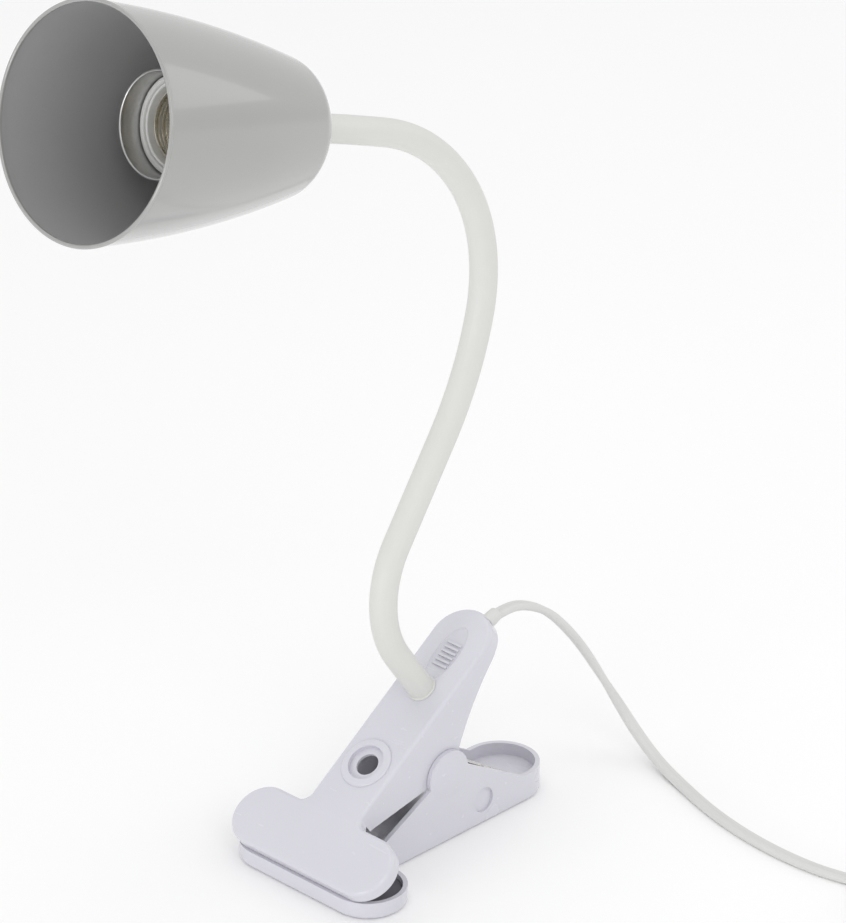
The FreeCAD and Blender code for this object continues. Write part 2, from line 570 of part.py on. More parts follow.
# ---------------------------------------------------------------- cord
def cordPoints():
    """Route of the cord from the handle to the in-line switch, chosen by hand."""
    width = size("cordWidth")
    floor = width / 2
    leave = onJaw(size("upperLength") + size("cordStart"), -size("cordAcross"), -size("cordBelow"))
    return [leave, Vector(45.5, -4.5, 83.9), Vector(56.5, -4.6, 80.4), Vector(68, -4.8, 73.2),
            Vector(78.5, -5.2, 62), Vector(87.8, -6, 49.6), Vector(95.5, -8, 36), Vector(101.8, -12.5, 22),
            Vector(104, -22, 10), Vector(101, -37, 3.8), Vector(95, -56, floor), Vector(88.6, -75, floor),
            Vector(84.2, -95, floor), Vector(82.2, -116, floor), Vector(83, -136, floor), Vector(87, -152,
                                                                                                 floor),
            Vector(88.5, -166, floor)]


def roundedPath(points):
    """Straight runs joined by tangent arcs, each as large as its two runs allow."""
    share = 0.45
    edges, radii = [], []
    start = points[0]
    for before, corner, after in zip(points, points[1:], points[2:]):
        into, out = corner - before, after - corner
        turn = into.getAngle(out)
        reach = share * min(into.Length, out.Length)
        radii.append(reach / math.tan(turn / 2))
        first, last = corner - into.normalize() * reach, corner + out.normalize() * reach
        bisector = (out - into).normalize()
        centre = corner + bisector * (radii[-1] / math.cos(turn / 2))
        middle = centre - bisector * radii[-1]
        edges.append(Part.LineSegment(start, first).toShape())
        edges.append(Part.Arc(first, middle, last).toShape())
        start = last
    edges.append(Part.LineSegment(start, points[-1]).toShape())
    return Part.Wire(edges), radii


def cordTube(label, points):
    width = size("cordWidth")
    path, radii = roundedPath(points)
    section = Part.Wire(Part.makeCircle(width / 2, points[0], points[1] - points[0]))
    tube = path.makePipeShell([section], True, False)
    solid = tube if tube.ShapeType == "Solid" else Part.Solid(tube)
    ideal = math.pi * width ** 2 / 4 * path.Length
    print(f"{label}: length {path.Length:.1f}, volume {solid.Volume / ideal:.4f} of section x length, radii",
          [round(r, 1) for r in radii])
    solidPiece(label, solid)
    return path.Length


def frameAt(origin, direction):
    """Level frame with X along a direction on the floor."""
    return Placement(origin, Rotation(Vector(0, 0, 1), math.degrees(math.atan2(direction.y, direction.x))))


def roundedBlock(label, place, length, width, start, height, edge, top=None):
    """Flat block with rounded corners in plan; top rounds its upper edge."""
    body = newBody(label, place)
    a, b, e = f"({length}/2)", f"({width}/2)", edge
    corners = [(f"-{a}+{e}", f"-{b}"), (f"{a}-{e}", f"-{b}", e, 1), (a, f"-{b}+{e}"), (a, f"{b}-{e}", e, 1),
               (f"{a}-{e}", b), (f"-{a}+{e}", b, e, 1), (f"-{a}", f"{b}-{e}"), (f"-{a}", f"-{b}+{e}", e, 1)]
    prism("Pad", body, outline(body, "XY_Plane", corners, start), height)
    if top:
        level = value(f"{start}+{height}")
        roundEdges(body, lambda item: item.BoundBox.ZMin > level - 1e-4, top)
    return body


def makeCordAndFittings():
    floor = size("cordWidth") / 2
    points = cordPoints()
    run = cordTube("cord_run", points)
    # in-line switch: two shells and a rocker
    heading = (points[-1] - points[-2]).normalize()
    middle = points[-1] + heading * (size("switchLength") / 2)
    place = frameAt(Vector(middle.x, middle.y, 0), heading)
    half = "(switchHeight/2)"
    roundedBlock("switch_base", place, "switchLength", "switchWidth", "0", half, "4")
    top = roundedBlock("switch_top", place, "switchLength", "switchWidth", half, half, "4", "1.5")
    window = [("-rockerLength/2-0.4", "-rockerWidth/2-0.4"), ("rockerLength/2+0.4", "-rockerWidth/2-0.4"),
              ("rockerLength/2+0.4", "rockerWidth/2+0.4"), ("-rockerLength/2-0.4", "rockerWidth/2+0.4")]
    prism("Pocket", top, outline(top, "XY_Plane", window, "switchHeight+1"), f"{half}+1")
    rocker = newBody("switch_rocker", place)
    low, edge, dip = f"({half}+0.9)", "switchHeight+1.6", "switchHeight+0.3"
    profile = [("-rockerLength/2+1.6", low), ("rockerLength/2-1.6", low), ("rockerLength/2", edge), ("0",
                                                                                                     dip),
               ("-rockerLength/2", edge)]
    prism("Pad", rocker, outline(rocker, "XZ_Plane", profile), "rockerWidth", symmetric=True)
    # put-away coil beside the switch
    leave = points[-1] + heading * size("switchLength")
    right = Vector(heading.y, -heading.x, 0)
    radius = size("coilMeanRadius")
    entry = radius + size("coilBuild") / 2 - floor
    centre = leave + heading * size("coilAhead") + right * entry
    centre.z = 0
    inside, outside = "(coilMeanRadius-coilBuild/2)", "(coilMeanRadius+coilBuild/2)"
    turned("cord_coil", [(f"{inside}+2.4", "0"), (f"{outside}-2.4", "0"), (outside, "2.4"),
                         (outside, "coilHeight-2.4"), (f"{outside}-2.4", "coilHeight"),
                         (f"{inside}+2.4", "coilHeight"), (inside, "coilHeight-2.4"), (inside, "2.4")],
           Placement(centre, Rotation()))
    rim = radius + size("coilBuild") / 2
    reach = math.sqrt((rim + 0.02) ** 2 - entry ** 2)
    link = leave + heading * (size("coilAhead") - reach)
    inlet = [leave, leave + heading * (0.5 * (size("coilAhead") - reach)) - right * 0.6, link]
    lengths = [run, cordTube("cord_link", inlet)]
    # the far end leaves the coil's upper layer and goes into the plug beside it
    level = size("plugHeight") / 2
    exitRadius = entry + 1.3
    away = centre + heading * exitRadius + right * math.sqrt((rim + 0.02) ** 2 - exitRadius ** 2)
    away.z = size("coilHeight") - floor
    plugFace = away + right * 26
    plugFace.z = level
    outlet = [away, away + right * 9 + heading * 0.5, away + right * 17 + heading * 0.3, plugFace]
    for step, point in enumerate(outlet[1:3], start=1):
        point.z = away.z + (level - away.z) * step / 3
    lengths.append(cordTube("cord_end", outlet))
    plugMiddle = plugFace + right * (size("plugLength") / 2)
    plugPlace = frameAt(Vector(plugMiddle.x, plugMiddle.y, 0), right)
    roundedBlock("plug_body", plugPlace, "plugLength", "plugWidth", "0", "plugHeight", "5", "2.5")
    pins = []
    tip = plugFace + right * size("plugLength")
    for side in (-0.5, 0.5):
        base = tip + heading * (side * size("plugPinSpacing"))
        pins.append(cylinderAlong(base, right, size("plugPinRadius"), size("plugPinLength")))
    solidPiece("plug_pins", Part.makeCompound(pins))
    print("cord outside the coil", round(sum(lengths), 1))
    print("switch middle", middle, "heading", heading, "coil centre", centre, "coil inlet", link, "outlet",
          away,
          "plug face", plugFace)


# ---------------------------------------------------------------- build, check and write
makeLowerJaw()
makeUpperJaw()
makePads()
makePivot()
makeSpring()
makeNeck()
head = makeHead()
makeHandleFittings()
makeCordAndFittings()
doc.recompute()

spansNow, neckEnd, endHeading = neckPath()
print("joints", [tuple(round(c, 2) for c in span[0]) for span in spansNow[1:]])
print("joint headings", [round(math.degrees(span[1]), 2) for span in spansNow[1:]])
print("neck end", neckEnd, "mouth", head.Base, "jaw origin", jawOrigin)

failed = [item.Name for item in doc.Objects if "Invalid" in item.State or "Error" in item.State]
pieces = [item for item in doc.Objects
          if item.TypeId in ("PartDesign::Body", "Part::Feature") and item.getParentGeoFeatureGroup() is None]
for piece in pieces:
    if piece.Shape.isNull() or not piece.Shape.isValid() or not piece.Shape.Solids:
        failed.append(piece.Label)
if failed:
    raise RuntimeError("not built: " + ", ".join(failed))
os.makedirs("parts", exist_ok=True)
for piece in pieces:
    piece.Shape.exportStep(os.path.join("parts", piece.Label + ".step"))
print(len(pieces), "sub-parts written")
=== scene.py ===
import json
import math
import bmesh
import bpy
from mathutils import Matrix, Vector

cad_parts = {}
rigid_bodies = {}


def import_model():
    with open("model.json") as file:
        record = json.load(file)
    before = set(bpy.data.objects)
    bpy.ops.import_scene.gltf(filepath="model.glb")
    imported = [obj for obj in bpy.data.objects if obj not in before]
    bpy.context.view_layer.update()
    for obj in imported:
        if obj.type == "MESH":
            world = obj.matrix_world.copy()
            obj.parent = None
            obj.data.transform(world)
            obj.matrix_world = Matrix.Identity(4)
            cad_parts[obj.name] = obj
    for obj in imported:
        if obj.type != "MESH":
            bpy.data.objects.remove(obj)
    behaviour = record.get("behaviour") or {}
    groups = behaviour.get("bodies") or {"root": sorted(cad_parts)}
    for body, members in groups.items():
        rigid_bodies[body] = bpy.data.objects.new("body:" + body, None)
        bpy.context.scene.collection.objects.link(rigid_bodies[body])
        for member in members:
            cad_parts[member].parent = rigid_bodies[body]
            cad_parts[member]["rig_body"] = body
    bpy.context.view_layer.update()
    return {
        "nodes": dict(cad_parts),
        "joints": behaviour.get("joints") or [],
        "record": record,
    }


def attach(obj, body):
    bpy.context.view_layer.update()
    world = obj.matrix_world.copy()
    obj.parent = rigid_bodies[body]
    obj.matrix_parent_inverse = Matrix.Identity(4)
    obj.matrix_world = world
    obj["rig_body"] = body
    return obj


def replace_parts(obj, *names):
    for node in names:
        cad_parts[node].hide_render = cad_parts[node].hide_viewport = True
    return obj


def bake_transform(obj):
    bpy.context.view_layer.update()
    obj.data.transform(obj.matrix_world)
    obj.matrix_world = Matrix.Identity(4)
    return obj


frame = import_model()                                   # the lamp's frame, in metres, +Z up
joints = {joint["name"]: joint for joint in frame["joints"]}
pivot = Vector(joints["clip_hinge"]["pos_m"])


# graphs of nodes, with maths on their outputs

class Wire:                                         # one output of a node, with the maths used on it
    def __init__(self, graph, socket):
        self.graph, self.socket = graph, socket

    def maths(self, operation, first, second=0.0):
        return self.graph.node("ShaderNodeMath", {"operation": operation}, {0: first, 1: second})

    def __add__(self, other):
        return self.maths("ADD", self, other)

    def __radd__(self, other):
        return self.maths("ADD", other, self)

    def __sub__(self, other):
        return self.maths("SUBTRACT", self, other)

    def __rsub__(self, other):
        return self.maths("SUBTRACT", other, self)

    def __mul__(self, other):
        return self.maths("MULTIPLY", self, other)

    def __rmul__(self, other):
        return self.maths("MULTIPLY", other, self)

    def __truediv__(self, other):
        return self.maths("DIVIDE", self, other)

    def __rtruediv__(self, other):
        return self.maths("DIVIDE", other, self)

    def __getitem__(self, name):                    # another output of the same node
        return Wire(self.graph, self.socket.node.outputs[name])


class Graph:
    def __init__(self, tree):
        self.tree = tree
        tree.nodes.clear()

    def node(self, kind, settings=None, sockets=None):
        made = self.tree.nodes.new(kind)
        for key, setting in (settings or {}).items():
            if key == "stops":                      # a ramp's positions and colours
                for stop, (place, colour) in zip(made.color_ramp.elements, setting):
                    stop.position, stop.color = place, colour
                for place, colour in setting[2:]:
                    made.color_ramp.elements.new(place).color = colour
            else:
                setattr(made, key, setting)
        for key, given in (sockets or {}).items():
            target = made.inputs[key] if isinstance(key, int) else next(
                socket for socket in made.inputs if socket.enabled and socket.name == key)
            for value in given if isinstance(given, list) else [given]:
                if isinstance(value, Wire):
                    self.tree.links.new(value.socket, target)
                else:
                    target.default_value = value
        shown = [socket for socket in made.outputs if socket.enabled]
        return Wire(self, shown[0]) if shown else made

    def noise(self, place, scale, detail=2.0, stretch=None):
        if stretch:
            place = self.node("ShaderNodeVectorMath", {"operation": "MULTIPLY"}, {0: place, 1: stretch})
        return self.node("ShaderNodeTexNoise", {}, {"Vector": place, "Scale": scale, "Detail": detail})

    def between(self, value, low, high):            # 0 below low, 1 above high, smooth between
        return self.node("ShaderNodeMapRange", {"interpolation_type": "SMOOTHSTEP"},
                         {"Value": value, "From Min": low, "From Max": high})

    def blend(self, amount, first, second):
        return self.node("ShaderNodeMix", {"data_type": "RGBA"}, {"Factor": amount, "A": first, "B": second})

    def relief(self, height, depth, strength=1.0):
        return self.node("ShaderNodeBump", {}, {"Strength": strength, "Distance": depth, "Height": height})


def material(name, paint):
    made = bpy.data.materials.new(name)
    made.use_nodes = True
    graph = Graph(made.node_tree)
    surface = paint(graph, graph.node("ShaderNodeTexCoord")["Object"])
    graph.node("ShaderNodeOutputMaterial", {}, {"Surface": surface})
    return made


def principled(graph, sockets):
    return graph.node("ShaderNodeBsdfPrincipled", {}, sockets)


# finishes, one for each kind of surface

jawFinish = {"colour": (0.655, 0.650, 0.705, 1), "deep": (0.612, 0.607, 0.667, 1), "roughness": 0.24}


def jawPlastic(graph, place):                       # glossy moulding: faint flow, fine texture, light scuffs
    cloud = graph.noise(place, 26, 3)
    flow = graph.noise(place, 60, 4, (1, 0.25, 1))
    pore = graph.noise(place, 2200, 2)
    scuff = graph.between(graph.noise(place, 420, 6, (1, 0.16, 1)), 0.66, 0.74)
    return principled(graph, {
        "Base Color": graph.blend(cloud * 0.7 + flow * 0.3, jawFinish["deep"], jawFinish["colour"]),
        "Roughness": jawFinish["roughness"] + flow * 0.05 + scuff * 0.05,
        "Specular IOR Level": 0.5, "Coat Weight": 0.22, "Coat Roughness": 0.12,
        "Normal": graph.relief(pore * 0.3 + scuff * 0.05, 0.00002, 0.2)})


sleeveFinish = {"colour": (0.690, 0.693, 0.664, 1), "deep": (0.640, 0.643, 0.614, 1), "roughness": 0.40}


def sleeveRubber(graph, place):                     # soft sleeve: extrusion lines along it, a little dust
    lay = graph.node("ShaderNodeAttribute", {"attribute_name": "lay"})["Vector"]
    lines = graph.noise(lay, 9, 3, (1, 1, 2.2))
    cloud = graph.noise(place, 38, 3)
    dust = graph.between(graph.noise(place, 900, 3), 0.68, 0.76)
    colour = graph.blend(cloud * 0.6 + lines * 0.4, sleeveFinish["deep"], sleeveFinish["colour"])
    return principled(graph, {
        "Base Color": graph.blend(dust * 0.25, colour, (0.83, 0.83, 0.80, 1)),
        "Roughness": sleeveFinish["roughness"] + lines * 0.12 + dust * 0.2,
        "Specular IOR Level": 0.45,
        "Normal": graph.relief(lines * 0.7 + graph.noise(place, 1500, 2) * 0.3, 0.00005, 0.35)})


shadeFinish = {"colour": (0.365, 0.365, 0.357, 1), "deep": (0.340, 0.340, 0.333, 1),
               "lining": (0.380, 0.380, 0.380, 1), "liningDeep": (0.330, 0.330, 0.332, 1)}


def shadePaint(graph, place):                       # gloss coat over spun metal, with faint spinning rings
    local = graph.node("ShaderNodeAttribute", {"attribute_name": "local"})["Vector"]
    rings = graph.noise(local, 300, 3, (0.02, 0.02, 1))
    peel = graph.noise(place, 520, 2)
    cloud = graph.noise(place, 22, 2)
    return principled(graph, {
        "Base Color": graph.blend(cloud, shadeFinish["deep"], shadeFinish["colour"]),
        "Roughness": 0.16 + cloud * 0.05 + rings * 0.03,
        "Specular IOR Level": 0.5, "Coat Weight": 0.7, "Coat Roughness": 0.06,
        "Normal": graph.relief(peel * 0.6 + rings * 0.4, 0.00004, 0.30)})


def shadeLining(graph, place):                      # satin inner paint with spinning rings and a little dust
    local = graph.node("ShaderNodeAttribute", {"attribute_name": "local"})["Vector"]
    rings = graph.noise(local, 420, 4, (0.03, 0.03, 1))
    grain = graph.noise(place, 1300, 3)
    cloud = graph.noise(place, 30, 3)
    mottle = cloud * 0.6 + grain * 0.4
    return principled(graph, {
        "Base Color": graph.blend(mottle, shadeFinish["liningDeep"], shadeFinish["lining"]),
        "Roughness": 0.42 + grain * 0.12 + rings * 0.06, "Specular IOR Level": 0.4,
        "Normal": graph.relief(grain * 0.5 + rings * 0.5, 0.00004, 0.4)})


holderFinish = {"colour": (0.80, 0.80, 0.785, 1), "deep": (0.75, 0.75, 0.735, 1)}


def holderPlastic(graph, place):                    # dense moulded heat-proof plastic
    cloud = graph.noise(place, 90, 3)
    grain = graph.noise(place, 2400, 2)
    return principled(graph, {
        "Base Color": graph.blend(cloud, holderFinish["deep"], holderFinish["colour"]),
        "Roughness": 0.30 + grain * 0.10, "Specular IOR Level": 0.5,
        "Normal": graph.relief(grain, 0.00002, 0.4)})


def metal(colour, dark, roughness, stretch, fine=900):
    def paint(graph, place):                        # drawn or turned metal: streaks, a few dull spots
        streak = graph.noise(place, fine, 5, stretch)
        spots = graph.between(graph.noise(place, 240, 4), 0.55, 0.72)
        return principled(graph, {
            "Base Color": graph.blend(streak * 0.55 + spots * 0.35, colour, dark), "Metallic": 1.0,
            "Roughness": roughness + streak * 0.12 + spots * 0.12,
            "Normal": graph.relief(streak, 0.00002, 0.35)})
    return paint


def plainPlastic(colour, dark, roughness, pore=1800):
    def paint(graph, place):                        # satin moulding with a fine spark texture
        cloud = graph.noise(place, 60, 3)
        grain = graph.noise(place, pore, 3)
        return principled(graph, {
            "Base Color": graph.blend(cloud * 0.6 + grain * 0.4, dark, colour),
            "Roughness": roughness + grain * 0.14, "Specular IOR Level": 0.5,
            "Normal": graph.relief(grain, 0.00004, 0.45)})
    return paint


def cordSkin(graph, place):                         # flat twin lead: extrusion lines and slight scuffing
    lay = graph.node("ShaderNodeAttribute", {"attribute_name": "lay"})["Vector"]
    lines = graph.noise(lay, 7, 3, (1, 1, 3.0))
    cloud = graph.noise(place, 50, 2)
    scuff = graph.between(graph.noise(place, 700, 4), 0.62, 0.72)
    return principled(graph, {
        "Base Color": graph.blend(cloud * 0.5 + lines * 0.5, (0.60, 0.60, 0.585, 1), (0.70, 0.70, 0.69, 1)),
        "Roughness": 0.36 + lines * 0.1 + scuff * 0.15, "Specular IOR Level": 0.5,
        "Normal": graph.relief(lines + scuff * 0.3, 0.00005, 0.4)})


metals = {                                          # colour, dark streaks, roughness, stretch of the streaks
    "cup_paint": ("cupPaint", (0.62, 0.62, 0.61, 1), (0.45, 0.45, 0.45, 1), 0.26, (1, 1, 1)),
    "bright_steel": ("brightSteel", (0.92, 0.92, 0.92, 1), (0.62, 0.62, 0.63, 1), 0.34, (1, 0.1, 1)),
    "spring_steel": ("springSteel", (0.80, 0.79, 0.77, 1), (0.30, 0.29, 0.28, 1), 0.14, (1, 0.3, 1)),
    "brass_thread": ("brassThread", (0.72, 0.55, 0.26, 1), (0.42, 0.30, 0.12, 1), 0.24, (1, 1, 0.2)),
    "shell_metal": ("shellMetal", (0.84, 0.80, 0.70, 1), (0.50, 0.46, 0.38, 1), 0.18, (0.3, 0.3, 1)),
    "pin_brass": ("pinBrass", (0.80, 0.76, 0.62, 1), (0.55, 0.50, 0.36, 1), 0.2, (1, 1, 0.2)),
    "core_steel": ("coreSteel", (0.55, 0.55, 0.56, 1), (0.28, 0.28, 0.29, 1), 0.32, (1, 1, 0.3))}
plastics = {                                        # colour, darker colour, roughness, fineness of the grain
    # the pads are real rubber, but their near-black colour is painted shade for the shadowed recess between
    # the jaws
    "pad_rubber": ("padRubberPaintedShade", (0.13, 0.13, 0.15, 1), (0.10, 0.10, 0.12, 1), 0.55, 1200),
    "switch_white": ("switchPlastic", (0.80, 0.80, 0.79, 1), (0.76, 0.76, 0.75, 1), 0.28, 2600),
    "wire_pvc": ("wireInsulation", (0.08, 0.12, 0.3, 1), (0.05, 0.08, 0.2, 1), 0.4, 1800)}
finishes = {
    "jaw_plastic": material("jawPlastic", jawPlastic),
    "sleeve_rubber": material("sleeveRubber", sleeveRubber),
    "shade_paint": material("shadePaint", shadePaint),
    "cord_grey": material("cordSkin", cordSkin),
    "holder_white": material("holderPlastic", holderPlastic)}
finishes.update({slot: material(name, metal(*look)) for slot, (name, *look) in metals.items()})
finishes.update({slot: material(name, plainPlastic(*look)) for slot, (name, *look) in plastics.items()})
lining = material("shadeLining", shadeLining)
tieFinish = material("tieSoft", plainPlastic((0.60, 0.60, 0.60, 1), (0.52, 0.52, 0.52, 1), 0.5))
for part in frame["record"]["subparts"]:
    for cell in frame["nodes"][part["node"]].material_slots:
        cell.material = finishes[part["material_slot"]]
print("finishes:", len(finishes) + 2)


# shapes that geometry nodes grow

def geometryTree(name, sizes, build):
    tree = bpy.data.node_groups.new(name, "GeometryNodeTree")
    tree.interface.new_socket("Geometry", in_out="INPUT", socket_type="NodeSocketGeometry")
    for label, start in sizes.items():
        kind = "NodeSocketInt" if isinstance(start, int) else "NodeSocketFloat"
        tree.interface.new_socket(label, in_out="INPUT", socket_type=kind).default_value = start
    tree.interface.new_socket("Material", in_out="INPUT", socket_type="NodeSocketMaterial")
    tree.interface.new_socket("Geometry", in_out="OUTPUT", socket_type="NodeSocketGeometry")
    graph = Graph(tree)
    given = graph.node("NodeGroupInput")
    shape = build(graph, given)
    whole = graph.node("GeometryNodeRealizeInstances", {}, {"Geometry": shape})
    painted = graph.node("GeometryNodeSetMaterial", {}, {"Geometry": whole, "Material": given["Material"]})
    graph.node("NodeGroupOutput", {}, {"Geometry": painted})
    return tree


def rounded(graph, shape, angle=32):                # smooth faces, with edges past the angle kept crisp
    smooth = graph.node("GeometryNodeSetShadeSmooth", {"domain": "FACE"}, {"Geometry": shape})
    steep = graph.node("GeometryNodeInputMeshEdgeAngle")["Unsigned Angle"]
    crisp = graph.node("FunctionNodeCompare", {"operation": "GREATER_THAN"},
                       {"A": steep, "B": math.radians(angle)})
    return graph.node("GeometryNodeSetShadeSmooth", {"domain": "EDGE"},
                      {"Geometry": smooth, "Selection": crisp, "Shade Smooth": False})


def kept(graph, shape, name, value):                # a named attribute for the finish to follow
    return graph.node("GeometryNodeStoreNamedAttribute", {"data_type": "FLOAT_VECTOR", "domain": "POINT"},
                      {"Geometry": shape, "Name": name, "Value": value})


def sweepTree(graph, given, facing="Z_UP"):         # a lead or tube along a line; Groove pinches a flat lead
    line = graph.node("GeometryNodeMeshToCurve", {}, {"Mesh": given["Geometry"]})
    sides = {"Curve": line, "Normal": (0.0, 1.0, 0.0)} if facing == "FREE" else {"Curve": line}
    line = graph.node("GeometryNodeSetCurveNormal", {"mode": facing}, sides)
    travelled = graph.node("GeometryNodeSplineParameter")["Length"] + given["Before"]
    line = graph.node("GeometryNodeStoreNamedAttribute", {"data_type": "FLOAT", "domain": "POINT"},
                      {"Geometry": line, "Name": "travelled", "Value": travelled})
    ring = graph.node("GeometryNodeCurvePrimitiveCircle", {},
                      {"Resolution": given["Sides"], "Radius": 1.0})["Curve"]
    ring = kept(graph, ring, "lay", graph.node("GeometryNodeInputPosition"))
    apart = graph.node("ShaderNodeSeparateXYZ", {}, {"Vector": graph.node("GeometryNodeInputPosition")})
    groove = given["Groove"] / (1 + apart["X"] * apart["X"] * 60)
    flat = graph.node("ShaderNodeClamp", {},
                      {"Value": apart["Y"] * given["Flatness"], "Min": -1.0, "Max": 1.0})
    shaped = graph.node("ShaderNodeCombineXYZ", {}, {
        "X": apart["X"] * given["Half Width"], "Y": flat * given["Half Depth"] * (1 - groove)})
    ring = graph.node("GeometryNodeSetPosition", {}, {"Geometry": ring, "Position": shaped})
    tube = graph.node("GeometryNodeCurveToMesh", {},
                      {"Curve": line, "Profile Curve": ring, "Fill Caps": True})
    lay = graph.node("GeometryNodeInputNamedAttribute", {"data_type": "FLOAT_VECTOR"}, {"Name": "lay"})
    run = graph.node("GeometryNodeInputNamedAttribute", {"data_type": "FLOAT"}, {"Name": "travelled"})
    turn = graph.node("ShaderNodeSeparateXYZ", {}, {"Vector": lay})
    whole = graph.node("ShaderNodeCombineXYZ", {}, {"X": turn["X"], "Y": turn["Y"], "Z": run})
    return rounded(graph, kept(graph, tube, "lay", whole), 50)


def latheTree(graph, given):                        # a profile turned about Z; the wave makes a screw thread
    size = graph.node("GeometryNodeAttributeDomainSize", {"component": "MESH"},
                      {"Geometry": given["Geometry"]})
    rows = size["Point Count"]
    sheet = graph.node("GeometryNodeMeshGrid", {}, {
        "Size X": 1.0, "Size Y": 1.0, "Vertices X": given["Steps"], "Vertices Y": rows})["Mesh"]
    cell = graph.node("ShaderNodeSeparateXYZ", {}, {"Vector": graph.node("GeometryNodeInputPosition")})
    row = graph.node("ShaderNodeMath", {"operation": "ROUND"}, {0: (cell["Y"] + 0.5) * (rows - 1)})
    point = graph.node("GeometryNodeSampleIndex", {"data_type": "FLOAT_VECTOR", "domain": "POINT"}, {
        "Geometry": given["Geometry"], "Value": graph.node("GeometryNodeInputPosition"), "Index": row})
    profile = graph.node("ShaderNodeSeparateXYZ", {}, {"Vector": point})
    turn = (cell["X"] + 0.5) * math.tau
    phase = turn - profile["Z"] / given["Thread Pitch"] * math.tau
    wave = graph.node("ShaderNodeMath", {"operation": "SINE"}, {0: phase}) * given["Thread Depth"]
    radius = profile["X"] + wave
    place = graph.node("ShaderNodeCombineXYZ", {}, {
        "X": radius * graph.node("ShaderNodeMath", {"operation": "COSINE"}, {0: turn}),
        "Y": radius * graph.node("ShaderNodeMath", {"operation": "SINE"}, {0: turn}), "Z": profile["Z"]})
    shape = graph.node("GeometryNodeSetPosition", {}, {"Geometry": sheet, "Position": place})
    shape = kept(graph, shape, "local", graph.node("GeometryNodeInputPosition"))
    shape = graph.node("GeometryNodeMergeByDistance", {}, {"Geometry": shape, "Distance": 0.000004})
    return rounded(graph, shape)


sweepSizes = {"Half Width": 0.002, "Half Depth": 0.002, "Groove": 0.0, "Flatness": 1.0, "Before": 0.0,
              "Sides": 24}
sweep = geometryTree("leadAlongLine", sweepSizes, sweepTree)
sleeveSweep = geometryTree("sleeveAlongLine", sweepSizes,
                           lambda graph, given: sweepTree(graph, given, "FREE"))
wireSweep = geometryTree("wireAlongLine", sweepSizes,
                         lambda graph, given: sweepTree(graph, given, "MINIMUM_TWIST"))
lathe = geometryTree("turnedProfile", {"Steps": 97, "Thread Pitch": 1.0, "Thread Depth": 0.0}, latheTree)


def linked(name, mesh):
    piece = bpy.data.objects.new(name, mesh)
    bpy.context.scene.collection.objects.link(piece)
    return piece


def plain(piece):                                   # the evaluated shape as a plain mesh, with no modifiers
    mesh = bpy.data.meshes.new_from_object(piece.evaluated_get(bpy.context.evaluated_depsgraph_get()))
    piece.modifiers.clear()
    piece.data = mesh
    return piece


def grown(name, source, tree, values, place=None, outwards=False):
    piece = linked(name, source)
    modifier = piece.modifiers.new("shape", "NODES")
    modifier.node_group = tree
    sockets = {item.name: item.identifier for item in tree.interface.items_tree if item.in_out == "INPUT"}
    for key, value in values.items():
        modifier[sockets[key]] = value
    plain(piece)
    piece.data.materials.clear()
    piece.data.materials.append(values["Material"])
    piece.data.polygons.foreach_set("material_index", [0] * len(piece.data.polygons))
    if outwards:
        work = bmesh.new()
        work.from_mesh(piece.data)
        bmesh.ops.recalc_face_normals(work, faces=work.faces)
        work.to_mesh(piece.data)
        work.free()
    if place:
        piece.data.transform(place)
    return piece


def lineMesh(name, points):
    mesh = bpy.data.meshes.new(name)
    mesh.from_pydata([tuple(p) for p in points], [(i, i + 1) for i in range(len(points) - 1)], [])
    return mesh


def turnedPiece(name, profile, place, slot, steps=97, pitch=1.0, depth=0.0):
    points = [(r, 0, z) for r, z in profile + profile[:1]]
    piece = grown(name, lineMesh(name, points), lathe, {
        "Steps": steps, "Thread Pitch": pitch, "Thread Depth": depth, "Material": finishes[slot]},
        place, True)
    return piece


def arc(centre, radius, first, last, steps):        # points of an arc, with angles in degrees
    return [(centre[0] + radius * math.cos(math.radians(first + (last - first) * k / steps)),
             centre[1] + radius * math.sin(math.radians(first + (last - first) * k / steps)))
            for k in range(steps + 1)]


def bow(p, q, radius, steps, side=1):               # points from p to q on a bowed line of that radius
    half = (Vector(q) - Vector(p)) / 2
    normal = Vector((half.y, -half.x)).normalized() * side
    centre = Vector(p) + half - normal * math.sqrt(radius ** 2 - half.length_squared)
    first = math.atan2(p[1] - centre.y, p[0] - centre.x)
    turn = (math.atan2(q[1] - centre.y, q[0] - centre.x) - first + math.pi) % math.tau - math.pi
    return [(centre.x + radius * math.cos(first + turn * k / steps),
             centre.y + radius * math.sin(first + turn * k / steps)) for k in range(steps + 1)]


def softened(node, width, segments=2, angle=35):    # a CAD piece again, with its hard edges rounded over
    mesh = frame["nodes"][node].data.copy()
    work = bmesh.new()
    work.from_mesh(mesh)
    bmesh.ops.remove_doubles(work, verts=work.verts, dist=0.00001)
    bmesh.ops.dissolve_limit(work, angle_limit=math.radians(1.2), verts=work.verts, edges=work.edges)
    work.to_mesh(mesh)
    work.free()
    if "custom_normal" in mesh.attributes:
        mesh.attributes.remove(mesh.attributes["custom_normal"])
    mesh.shade_smooth()
    piece = linked(node + "_soft", mesh)
    edges = piece.modifiers.new("edges", "BEVEL")
    edges.width, edges.segments, edges.harden_normals = width, segments, True
    edges.limit_method, edges.angle_limit = "ANGLE", math.radians(angle)
    plain(piece)
    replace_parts(piece, node)
    body = frame["nodes"][node]["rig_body"]
    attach(piece, body)
    slot = next(part["material_slot"] for part in frame["record"]["subparts"] if part["node"] == node)
    piece.data.materials.clear()
    piece.data.materials.append(finishes[slot])
    return piece


# camera

